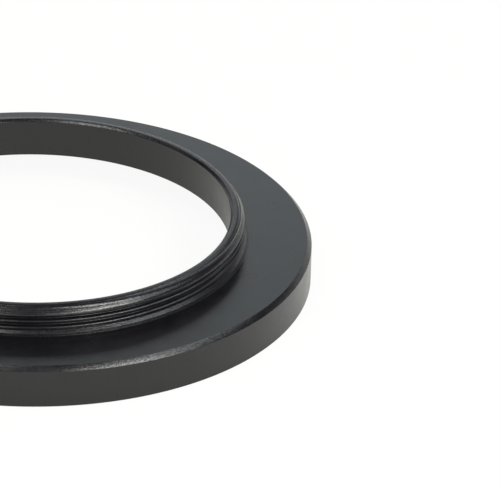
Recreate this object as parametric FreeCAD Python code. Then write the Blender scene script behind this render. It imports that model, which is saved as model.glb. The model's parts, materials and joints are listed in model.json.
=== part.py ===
"""Step-up ring: one turned aluminium ring that lets a 46 mm lens carry a 58 mm filter.

Frame: millimetres, +Z along the optical axis. The origin is the centre of the lower
rim face, the face that a filter's shoulder seats on. The ring lies on that face, with
its large female thread opening downward and its small male thread standing upward.
"""
import FreeCAD, Part
import math
import os

# Threads: nominal diameters and the common fine pitch of camera filters
filter_thread_diameter = 58.0
lens_thread_diameter = 46.0
thread_pitch = 0.75

# Walls left beside the threads, measured from their nominal diameters
rim_wall = 1.0
collar_wall = 1.75

# Heights, from the filter side to the lens side
filter_recess_depth = 3.4
web_thickness = 1.2
collar_height = 3.1

# Chamfers and broken edges
shoulder_chamfer = 0.5
rim_edge_break = 0.1
collar_lead_in = 0.95
collar_bore_chamfer = 0.25
web_bore_break = 0.05

# Narrow step that the turning tool leaves round the collar's foot
foot_step_height = 0.05
foot_step_width = 0.2

# Plain land above that step, then the run-out groove: a sloping side and a flat floor
foot_land_height = 0.18
lens_relief_slope_height = 0.32
lens_relief_floor_height = 0.15

# Turned groove inside the female thread, and how far it passes the thread's own depth
filter_relief_height = 0.45
filter_relief_clearance = 0.1

# A 60 degree thread is cut to five eighths of the height of its sharp triangle
thread_depth = 5 / 8 * thread_pitch * math.sqrt(3) / 2

# Radii that follow from the sizes above
outer_radius = filter_thread_diameter / 2 + rim_wall
filter_crest_radius = filter_thread_diameter / 2 - thread_depth
filter_relief_radius = filter_thread_diameter / 2 + filter_relief_clearance
collar_radius = lens_thread_diameter / 2
lens_relief_radius = collar_radius - thread_depth
bore_radius = collar_radius - collar_wall

# Levels along the axis
flange_level = filter_recess_depth + web_thickness
collar_top = flange_level + collar_height


def outer_side():
    """Rim, outer wall, shoulder, flange, foot step, run-out groove and collar, going up."""
    step_radius = collar_radius + foot_step_width
    step_level = flange_level + foot_step_height
    relief_foot = flange_level + foot_land_height
    relief_floor = relief_foot + lens_relief_slope_height
    thread_foot = relief_floor + lens_relief_floor_height
    return [
        (outer_radius - rim_edge_break, 0.0),
        (outer_radius, rim_edge_break),
        (outer_radius, flange_level - shoulder_chamfer),
        (outer_radius - shoulder_chamfer, flange_level),
        (step_radius, flange_level),
        (step_radius, step_level),
        (collar_radius, step_level),
        (collar_radius, relief_foot),
        (lens_relief_radius, relief_floor),
        (lens_relief_radius, thread_foot),
        (collar_radius, thread_foot),
        (collar_radius, collar_top - collar_lead_in),
        (collar_radius - collar_lead_in, collar_top),
    ]


def inner_side():
    """Bore, web, relief groove, wall of the female thread and its mouth, going down."""
    relief_foot = filter_recess_depth - filter_relief_height
    mouth_chamfer = filter_relief_radius - filter_crest_radius
    return [
        (bore_radius + collar_bore_chamfer, collar_top),
        (bore_radius, collar_top - collar_bore_chamfer),
        (bore_radius, filter_recess_depth + web_bore_break),
        (bore_radius + web_bore_break, filter_recess_depth),
        (filter_relief_radius, filter_recess_depth),
        (filter_relief_radius, relief_foot),
        (filter_crest_radius, relief_foot - mouth_chamfer),
        (filter_crest_radius, mouth_chamfer),
        (filter_relief_radius, 0.0),
    ]


def turned(outline):
    """Closed outline of (radius, height) corners, turned once round the optical axis."""
    corners = [FreeCAD.Vector(radius, 0, height) for radius, height in outline]
    section = Part.Face(Part.makePolygon(corners + corners[:1]))
    return section.revolve(FreeCAD.Vector(0, 0, 0), FreeCAD.Vector(0, 0, 1), 360)


ring = turned(outer_side() + inner_side())
if not ring.isValid() or len(ring.Solids) != 1:
    raise ValueError("the ring's section does not turn into one sound solid")

os.makedirs("parts", exist_ok=True)
ring.Solids[0].exportStep("parts/step_up_ring.step")
print(f"step_up_ring: volume {ring.Volume:.1f} mm3, outer diameter {2 * outer_radius:.2f} mm, "
      f"height {collar_top:.2f} mm")
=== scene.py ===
"""Looks of the step-up ring: threads, edges, anodised finish, light and camera."""
import json
import math
import bpy
from mathutils import Matrix, Vector


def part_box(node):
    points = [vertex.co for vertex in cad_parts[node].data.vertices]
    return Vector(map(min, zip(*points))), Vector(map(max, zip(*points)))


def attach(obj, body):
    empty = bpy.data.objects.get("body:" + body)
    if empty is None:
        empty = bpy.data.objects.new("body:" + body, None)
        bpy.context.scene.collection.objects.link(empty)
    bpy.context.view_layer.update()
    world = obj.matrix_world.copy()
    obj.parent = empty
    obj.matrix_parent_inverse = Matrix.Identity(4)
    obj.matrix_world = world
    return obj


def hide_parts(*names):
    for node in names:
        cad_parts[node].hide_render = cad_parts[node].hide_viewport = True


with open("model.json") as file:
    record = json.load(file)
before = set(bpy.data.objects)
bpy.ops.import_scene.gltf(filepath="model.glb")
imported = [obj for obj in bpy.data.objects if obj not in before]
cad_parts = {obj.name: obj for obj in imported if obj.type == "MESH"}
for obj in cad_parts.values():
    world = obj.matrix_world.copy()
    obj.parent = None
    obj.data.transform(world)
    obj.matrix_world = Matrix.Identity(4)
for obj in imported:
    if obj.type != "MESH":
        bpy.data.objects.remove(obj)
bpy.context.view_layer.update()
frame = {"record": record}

MM = 0.001
mounts = {mount["name"]: mount for mount in frame["record"]["mounts"]}


def mount_radius(name):
    """Radius of a round mount, in millimetres."""
    return mounts[name]["dims"]["r_mm"]


def mount_level(name):
    """Height of a mount's place on the axis, in millimetres."""
    return mounts[name]["pos_m"][2] / MM


# Sizes in millimetres that the frame gives
box_low, box_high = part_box("step_up_ring")
OUTER_RADIUS = box_high[0] / MM
COLLAR_TOP = box_high[2] / MM
FLANGE_LEVEL = mount_level("lens_seat")
COLLAR_RADIUS = mount_radius("lens_thread")
FILTER_CREST_RADIUS = mount_radius("filter_thread")
BORE_RADIUS = mount_radius("clear_aperture")
COLLAR_FOOT = mount_level("lens_thread") - mounts["lens_thread"]["dims"]["length_mm"] / 2
LEAD_IN_FOOT = mount_level("lens_thread") + mounts["lens_thread"]["dims"]["length_mm"] / 2
RECESS_THREAD_TOP = mount_level("filter_thread") + mounts["filter_thread"]["dims"]["length_mm"] / 2

# Thread form: 60 degrees, with a broad flat at the crest and a narrow one at the root
PITCH = 0.75
THREAD_DEPTH = 5 / 8 * PITCH * math.sqrt(3) / 2
FLANK_SLOPE = math.tan(math.radians(30))
LENS_GROOVE_DEPTH = 0.36
ROOT_FLAT = 0.085
THREAD_ROUND = 0.07
CREST_WEAR = 0.2

# Levels of a groove where it crosses +X, and where the male thread fades out
LENS_GROOVE_AT_X = 6.587
FILTER_GROOVE_AT_X = 1.2
LENS_THREAD_FULL_TO = 6.95
LENS_THREAD_GONE_AT = 7.25

# Edges and small steps of the turned section
SHOULDER_CHAMFER = 0.5
RIM_BREAK = 0.1
LEAD_IN = COLLAR_TOP - LEAD_IN_FOOT
LEAD_IN_CONE = COLLAR_RADIUS + LEAD_IN_FOOT
LEAD_IN_ROUND = 0.2
LEAD_IN_TOP_ROW = 7.3
RIM_OUTER_ROUND = 0.5
RIM_INNER_ROUND = 0.15
RIDGE = 0.02
RIDGE_ROUND = 0.4 * RIDGE
RIDGE_RADIUS = COLLAR_RADIUS - LEAD_IN + 0.22
BORE_CHAMFER = 0.25
WEB_BREAK = 0.05
WEB_UNDERSIDE = 3.4
FOOT_STEP_HEIGHT = 0.05
FOOT_STEP_WIDTH = 0.2
FOOT_LAND_HEIGHT = 0.18
RELIEF_SLOPE_HEIGHT = 0.32
FILTER_RELIEF_CLEARANCE = 0.1
FILTER_RELIEF_RADIUS = FILTER_CREST_RADIUS + THREAD_DEPTH + FILTER_RELIEF_CLEARANCE
LENS_RELIEF_RADIUS = COLLAR_RADIUS - THREAD_DEPTH

# Rounds of the edges
SHARP = 0.015
CRISP = 0.03
SOFT = 0.06
ROUND_SHARE = 0.45

# Finishes, as numbers of the ring's materials
FACE, EDGE, THREAD = 0, 1, 2

# Turning of the mesh
COLUMNS = 480
ARC_STEPS = 3
LENS_ROW = 0.025
FILTER_ROW = 0.05


def arc_corner(before, corner, after, radius):
    """Points of a round in a corner of the section, kept short of the neighbouring corners."""
    corner = Vector(corner)
    to_before = Vector(before) - corner
    to_after = Vector(after) - corner
    room = ROUND_SHARE * min(to_before.length, to_after.length)
    half_angle = to_before.angle(to_after) / 2
    reach = min(radius / math.tan(half_angle), room)
    radius = reach * math.tan(half_angle)
    bisector = (to_before.normalized() + to_after.normalized()).normalized()
    centre = corner + bisector * (radius / math.sin(half_angle))
    start = corner + to_before.normalized() * reach - centre
    end = corner + to_after.normalized() * reach - centre
    points = []
    for step in range(ARC_STEPS + 1):
        share = step / ARC_STEPS
        spoke = (start * (1 - share) + end * share).normalized() * radius
        points.append(tuple(centre + spoke))
    return points


def rounded_run(corners):
    """Points (radius, height, finish) of an open run of (radius, height, round, finish) corners."""
    points = []
    for index, (radius, height, edge, finish) in enumerate(corners):
        if edge == 0:
            points.append((radius, height, finish))
            continue
        before = corners[index - 1][:2]
        after = corners[index + 1][:2]
        for arc_radius, arc_height in arc_corner(before, (radius, height), after, edge):
            points.append((arc_radius, arc_height, finish))
    return points


class Thread:
    """Right-hand helical groove, cut outward (side 1) or inward (side -1) from a cylinder."""

    def __init__(self, surface, side, depth, groove_level, full_to, gone_at):
        self.surface = surface
        self.side = side
        self.depth = depth
        self.groove_level = groove_level
        self.full_to = full_to
        self.gone_at = gone_at

    def cut(self, height, turn):
        """Depth of the groove at a height and at a share of a turn past +X."""
        number = round((height - self.groove_level) / PITCH - turn)
        level = self.groove_level + PITCH * (number + turn)
        share = (self.gone_at - level) / (self.gone_at - self.full_to)
        depth = self.depth * max(0, min(1, share))
        mouth = ROOT_FLAT / 2 + depth * FLANK_SLOPE
        return max(0, min(depth, (mouth - abs(height - level)) / FLANK_SLOPE))

    def radius(self, height, turn):
        """Radius of the threaded wall, with its crests and roots softened."""
        weights = [(-2, 1), (-1, 2), (0, 3), (1, 2), (2, 1)]
        depths = [weight * self.cut(height + step * THREAD_ROUND / 2, turn) for step, weight in weights]
        return self.surface + self.side * sum(depths) / sum(weight for step, weight in weights)


def soft_min(one, other, blend):
    """Smaller of two radii, with a round where they cross."""
    overlap = max(0, blend - abs(one - other)) / blend
    return min(one, other) - overlap * overlap * blend / 4


lens_thread = Thread(COLLAR_RADIUS - CREST_WEAR, -1, LENS_GROOVE_DEPTH,
                     LENS_GROOVE_AT_X, LENS_THREAD_FULL_TO, LENS_THREAD_GONE_AT)
filter_thread = Thread(FILTER_CREST_RADIUS, 1, THREAD_DEPTH,
                       FILTER_GROOVE_AT_X, full_to=FLANGE_LEVEL, gone_at=COLLAR_TOP)


def levels(low, high, step):
    """Evenly spaced heights from low to high."""
    count = math.ceil((high - low) / step)
    return [low + (high - low) * index / count for index in range(count + 1)]


def outer_run():
    """From the lower rim up the outside to the collar's foot."""
    foot = FLANGE_LEVEL + FOOT_STEP_HEIGHT
    return rounded_run([
        (FILTER_RELIEF_RADIUS + RIM_BREAK, 0.0, 0, EDGE),
        (OUTER_RADIUS - RIM_BREAK, 0.0, CRISP, EDGE),
        (OUTER_RADIUS, RIM_BREAK, CRISP, FACE),
        (OUTER_RADIUS, FLANGE_LEVEL - SHOULDER_CHAMFER, CRISP, EDGE),
        (OUTER_RADIUS - SHOULDER_CHAMFER, FLANGE_LEVEL, CRISP, FACE),
        (COLLAR_RADIUS + FOOT_STEP_WIDTH, FLANGE_LEVEL, SHARP, EDGE),
        (COLLAR_RADIUS + FOOT_STEP_WIDTH, foot, SHARP, EDGE),
        (COLLAR_RADIUS, foot, SHARP, EDGE),
        (COLLAR_RADIUS, FLANGE_LEVEL + FOOT_LAND_HEIGHT, CRISP, EDGE),
        (LENS_RELIEF_RADIUS, FLANGE_LEVEL + FOOT_LAND_HEIGHT + RELIEF_SLOPE_HEIGHT, CRISP, EDGE),
        (LENS_RELIEF_RADIUS, COLLAR_FOOT, 0, EDGE),
    ])


def inner_run():
    """From the lead-in chamfer over the collar's rim and down the bore to the recess.

    The last corner only aims the cone above the thread, where the recess wall takes over.
    """
    run = rounded_run([
        (RIDGE_RADIUS + RIDGE, LEAD_IN_CONE - RIDGE_RADIUS - RIDGE, 0, EDGE),
        (RIDGE_RADIUS + RIDGE, LEAD_IN_CONE - RIDGE_RADIUS, RIDGE_ROUND, EDGE),
        (RIDGE_RADIUS, LEAD_IN_CONE - RIDGE_RADIUS, 0, EDGE),
        (COLLAR_RADIUS - LEAD_IN, COLLAR_TOP, RIM_OUTER_ROUND, EDGE),
        (BORE_RADIUS + BORE_CHAMFER, COLLAR_TOP, RIM_INNER_ROUND, EDGE),
        (BORE_RADIUS, COLLAR_TOP - BORE_CHAMFER, SOFT, FACE),
        (BORE_RADIUS, WEB_UNDERSIDE + WEB_BREAK, SHARP, EDGE),
        (BORE_RADIUS + WEB_BREAK, WEB_UNDERSIDE, SHARP, FACE),
        (FILTER_RELIEF_RADIUS, WEB_UNDERSIDE, CRISP, EDGE),
        (FILTER_RELIEF_RADIUS, RECESS_THREAD_TOP + FILTER_RELIEF_RADIUS - FILTER_CREST_RADIUS, CRISP, EDGE),
        (FILTER_CREST_RADIUS, RECESS_THREAD_TOP, 0, EDGE),
    ])
    return run[:-1]


def collar_wall(turn):
    """Threaded wall of the collar, worn round where the lead-in chamfer cuts it."""
    wall = []
    for height in levels(COLLAR_FOOT, LEAD_IN_TOP_ROW, LENS_ROW):
        radius = soft_min(lens_thread.radius(height, turn), LEAD_IN_CONE - height, LEAD_IN_ROUND)
        wall.append((radius, height, THREAD))
    return wall


def recess_wall(turn):
    """Threaded wall of the recess, going down to its mouth, which is a 45 degree cone."""
    wall = []
    for height in reversed(levels(0.0, RECESS_THREAD_TOP, FILTER_ROW)):
        radius = max(filter_thread.radius(height, turn), FILTER_RELIEF_RADIUS - height)
        wall.append((radius, height, THREAD))
    return wall


def build_ring():
    """One closed skin: the section at each column, joined to the next column's."""
    outside = outer_run()
    inside = inner_run()
    vertices = []
    faces = []
    finishes = []
    for column in range(COLUMNS):
        turn = column / COLUMNS
        angle = 2 * math.pi * turn
        section = outside + collar_wall(turn) + inside + recess_wall(turn)
        for radius, height, _ in section:
            vertices.append((radius * math.cos(angle) * MM, radius * math.sin(angle) * MM, height * MM))
    rows = len(section)
    for column in range(COLUMNS):
        here = column * rows
        there = (column + 1) % COLUMNS * rows
        for row in range(rows):
            above = (row + 1) % rows
            faces.append((here + row, there + row, there + above, here + above))
            finishes.append(section[row][2])
    mesh = bpy.data.meshes.new("ring")
    mesh.from_pydata(vertices, [], faces)
    mesh.validate()
    ring = bpy.data.objects.new("turned_ring", mesh)
    bpy.context.scene.collection.objects.link(ring)
    for polygon, finish in zip(mesh.polygons, finishes):
        polygon.material_index = finish
        polygon.use_smooth = True
    weighted = ring.modifiers.new("even_normals", "WEIGHTED_NORMAL")
    weighted.weight = 100
    weighted.keep_sharp = False
    return ring


def node(tree, kind, **inputs):
    """Shader node with some inputs set. An underscore in a name stands for a space."""
    made = tree.nodes.new(kind)
    for name, value in inputs.items():
        made.inputs[name.replace("_", " ")].default_value = value
    return made


# Levels between which nearly all of a noise's values lie
NOISE_LOW = 0.3
NOISE_HIGH = 0.7

# Broad cloudiness of the finish: its size in millimetres and its swing in roughness
CLOUD_SIZE = 2.5
CLOUD_ROUGHNESS = 0.03


def noise(tree, place, size, detail):
    """Noise of a given size in millimetres, fixed to the ring."""
    made = node(tree, "ShaderNodeTexNoise", Scale=1 / (size * MM), Detail=detail)
    tree.links.new(place.outputs["Object"], made.inputs["Vector"])
    return made.outputs["Fac"]


def swing(tree, source, middle, reach, target):
    """Let a noise swing a shader input about a middle level."""
    spread = node(tree, "ShaderNodeMapRange", From_Min=NOISE_LOW, From_Max=NOISE_HIGH,
                  To_Min=middle - reach, To_Max=middle + reach)
    tree.links.new(source, spread.inputs["Value"])
    tree.links.new(spread.outputs["Result"], target)


def anodised(name, roughness, grain_size, grain_depth, sparkle):
    """Black dyed oxide over turned aluminium: a satin surface with a fine sparkling grain."""
    material = bpy.data.materials.new(name)
    material.use_nodes = True
    tree = material.node_tree
    shader = tree.nodes["Principled BSDF"]
    shader.inputs["Metallic"].default_value = 0.0
    shader.inputs["IOR"].default_value = 1.5
    place = tree.nodes.new("ShaderNodeTexCoord")

    grain = noise(tree, place, grain_size, detail=2.0)
    grain.node.inputs["Roughness"].default_value = 0.6
    bump = node(tree, "ShaderNodeBump", Strength=1.0, Distance=grain_depth * MM)
    tree.links.new(grain, bump.inputs["Height"])
    tree.links.new(bump.outputs["Normal"], shader.inputs["Normal"])
    swing(tree, grain, 0.5, sparkle, shader.inputs["Specular IOR Level"])

    cloud = noise(tree, place, CLOUD_SIZE, detail=4.0)
    swing(tree, cloud, roughness, CLOUD_ROUGHNESS, shader.inputs["Roughness"])

    tint = tree.nodes.new("ShaderNodeValToRGB")
    low, high = tint.color_ramp.elements
    low.position = NOISE_LOW
    low.color = (0.0040, 0.0036, 0.0052, 1)
    high.position = NOISE_HIGH
    high.color = (0.0056, 0.0051, 0.0070, 1)
    tree.links.new(cloud, tint.inputs["Fac"])
    tree.links.new(tint.outputs["Color"], shader.inputs["Base Color"])
    return material


ring = build_ring()
finishes = [
    anodised("anodised_face", roughness=0.25, grain_size=0.12, grain_depth=0.001, sparkle=0.04),
    anodised("anodised_edge", roughness=0.24, grain_size=0.16, grain_depth=0.016, sparkle=0.42),
    anodised("anodised_thread", roughness=0.21, grain_size=0.16, grain_depth=0.010, sparkle=0.36),
]
for finish in finishes:
    ring.data.materials.append(finish)
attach(ring, "root")
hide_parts("step_up_ring")

# Floor: pale, with the object's shadow, and near white to the camera and to reflections
FLOOR_HALF = 1.5
FLOOR_DROP = 0.02 * MM
CAMERA_WHITE = 0.93
MIRROR_WHITE = 0.3


def combined(tree, operation, first, second):
    """Sum or product of a link and of a second link or number."""
    made = tree.nodes.new("ShaderNodeMath")
    made.operation = operation
    tree.links.new(first, made.inputs[0])
    if isinstance(second, float):
        made.inputs[1].default_value = second
    else:
        tree.links.new(second, made.inputs[1])
    return made.outputs[0]


def floor_paint():
    """Pale paint that partly glows white to camera rays and reflections."""
    material = bpy.data.materials.new("white_floor")
    material.use_nodes = True
    tree = material.node_tree
    tree.nodes.clear()
    output = tree.nodes.new("ShaderNodeOutputMaterial")
    paint = node(tree, "ShaderNodeBsdfDiffuse", Color=(0.85, 0.86, 0.80, 1))
    glow = node(tree, "ShaderNodeEmission", Color=(1, 1, 1, 1), Strength=1.0)
    light_path = tree.nodes.new("ShaderNodeLightPath")
    seen = combined(tree, "MULTIPLY", light_path.outputs["Is Camera Ray"], CAMERA_WHITE)
    mirrored = combined(tree, "MULTIPLY", light_path.outputs["Is Glossy Ray"], MIRROR_WHITE)
    share = combined(tree, "ADD", seen, mirrored)
    mix = tree.nodes.new("ShaderNodeMixShader")
    tree.links.new(share, mix.inputs["Fac"])
    tree.links.new(paint.outputs[0], mix.inputs[1])
    tree.links.new(glow.outputs[0], mix.inputs[2])
    tree.links.new(mix.outputs[0], output.inputs["Surface"])
    return material


def white_floor():
    """Large flat floor, a hair below the ring's lower rim."""
    mesh = bpy.data.meshes.new("floor")
    corners = [(-FLOOR_HALF, -FLOOR_HALF, 0), (FLOOR_HALF, -FLOOR_HALF, 0),
               (FLOOR_HALF, FLOOR_HALF, 0), (-FLOOR_HALF, FLOOR_HALF, 0)]
    mesh.from_pydata(corners, [], [(0, 1, 2, 3)])
    floor = bpy.data.objects.new("floor", mesh)
    floor.location.z = -FLOOR_DROP
    bpy.context.scene.collection.objects.link(floor)
    floor.data.materials.append(floor_paint())


white_floor()

# World: grey levels that reflections meet, by the sine of their height above the horizon
SURROUND = [(0.22, 0.78), (0.38, 0.04), (0.52, 0.04), (0.68, 0.54), (0.77, 0.54), (0.93, 0.09)]

# Even fill light on surfaces
FILL = 0.45


def chosen(tree, share, first, second):
    """First colour where the share is 0, second where it is 1. Each is a link or a colour."""
    made = tree.nodes.new("ShaderNodeMix")
    made.data_type = "RGBA"
    first_socket, second_socket = [socket for socket in made.inputs if socket.type == "RGBA"]
    tree.links.new(share, made.inputs["Factor"])
    for socket, colour in ((first_socket, first), (second_socket, second)):
        if isinstance(colour, tuple):
            socket.default_value = colour
        else:
            tree.links.new(colour, socket)
    return next(socket for socket in made.outputs if socket.type == "RGBA")


def pale_world():
    """White to the camera, grey bands to reflections, even fill to everything else."""
    world = bpy.data.worlds.new("pale_surround")
    bpy.context.scene.world = world
    world.use_nodes = True
    tree = world.node_tree
    tree.nodes.clear()
    output = tree.nodes.new("ShaderNodeOutputWorld")
    background = tree.nodes.new("ShaderNodeBackground")
    place = tree.nodes.new("ShaderNodeTexCoord")
    axes = tree.nodes.new("ShaderNodeSeparateXYZ")
    tree.links.new(place.outputs["Generated"], axes.inputs[0])
    bands = tree.nodes.new("ShaderNodeValToRGB")
    stops = bands.color_ramp.elements
    stops.remove(stops[1])
    for number, (height, level) in enumerate(SURROUND):
        stop = stops.new(height) if number else stops[0]
        stop.position = height
        stop.color = (level, level, level, 1)
    tree.links.new(axes.outputs["Z"], bands.inputs["Fac"])
    light_path = tree.nodes.new("ShaderNodeLightPath")
    lit = chosen(tree, light_path.outputs["Is Glossy Ray"], (FILL, FILL, FILL, 1), bands.outputs["Color"])
    shown = chosen(tree, light_path.outputs["Is Camera Ray"], lit, (1, 1, 1, 1))
    tree.links.new(shown, background.inputs["Color"])
    tree.links.new(background.outputs[0], output.inputs["Surface"])


pale_world()

# Lamps: large soft boxes round the ring, in metres
LAMP_DISTANCE = 0.6
LAMP_WIDTH = 0.24
LAMP_HEIGHT = 0.20
WARM = (1.0, 1.0, 0.95)
COOL = (0.90, 1.0, 1.03)


def softbox(name, azimuth, elevation, radiance, colour, width=LAMP_WIDTH, height=LAMP_HEIGHT):
    """Area lamp aimed at the ring. Azimuth is counted from +X towards +Y."""
    lamp = bpy.data.lights.new(name, "AREA")
    lamp.shape = "RECTANGLE"
    lamp.size = width
    lamp.size_y = height
    lamp.color = colour
    lamp.energy = radiance * math.pi * width * height
    box = bpy.data.objects.new(name, lamp)
    az, el = math.radians(azimuth), math.radians(elevation)
    direction = Vector((math.cos(el) * math.cos(az), math.cos(el) * math.sin(az), math.sin(el)))
    box.location = direction * LAMP_DISTANCE
    box.rotation_euler = direction.to_track_quat("Z", "Y").to_euler()
    bpy.context.scene.collection.objects.link(box)


softbox("key", -46, 42, 11.0, WARM, width=0.28)
softbox("low_right", -65, 24, 5.0, WARM)
softbox("low_left", -115, 22, 2.7, WARM)
softbox("left", -140, 62, 6.0, WARM)
softbox("right", -2, 52, 2.2, COOL, width=0.36, height=0.24)
softbox("back", 90, 22, 1.0, COOL)
softbox("back_right", 50, 42, 1.3, COOL)

# Camera: where the photograph was taken from, found from the ring's outlines
CAMERA_ELEVATION = math.radians(27.80)
CAMERA_DISTANCE = 0.602
CAMERA_ROLL = math.radians(-0.38)

# Its lens, and where the ring's origin shows, in pixels of a square picture
IMAGE_SIZE = 500
FOCAL_PIXELS = 5585.8
RING_CENTRE_PIXEL = (32.17, 271.33)
SENSOR_WIDTH = 36.0


def photo_camera():
    """Camera at the photograph's viewing angle, turned so that the origin shows at its pixel."""
    lens = bpy.data.cameras.new("photo_camera")
    lens.sensor_width = SENSOR_WIDTH
    lens.lens = FOCAL_PIXELS / IMAGE_SIZE * SENSOR_WIDTH
    lens.clip_start = 0.01
    lens.clip_end = 20.0
    camera = bpy.data.objects.new("photo_camera", lens)
    bpy.context.scene.collection.objects.link(camera)
    place = Vector((0, -math.cos(CAMERA_ELEVATION), math.sin(CAMERA_ELEVATION))) * CAMERA_DISTANCE
    forward = -place.normalized()
    right = Vector((1, 0, 0))
    up = right.cross(forward)
    level = Matrix((right, up, forward))
    rolled = Matrix.Rotation(CAMERA_ROLL, 3, "Z") @ level
    half = IMAGE_SIZE / 2
    across = (RING_CENTRE_PIXEL[0] - half) / FOCAL_PIXELS
    above = (half - RING_CENTRE_PIXEL[1]) / FOCAL_PIXELS
    aim = Vector((across, above, 1))
    turn = Vector((0, 0, 1)).rotation_difference(aim.normalized()).to_matrix()
    axes = turn @ rolled
    facing = Matrix((axes[0], axes[1], -axes[2])).transposed()
    camera.matrix_world = Matrix.Translation(place) @ facing.to_4x4()
    bpy.context.scene.camera = camera


photo_camera()
bpy.context.scene.view_settings.view_transform = "Standard"
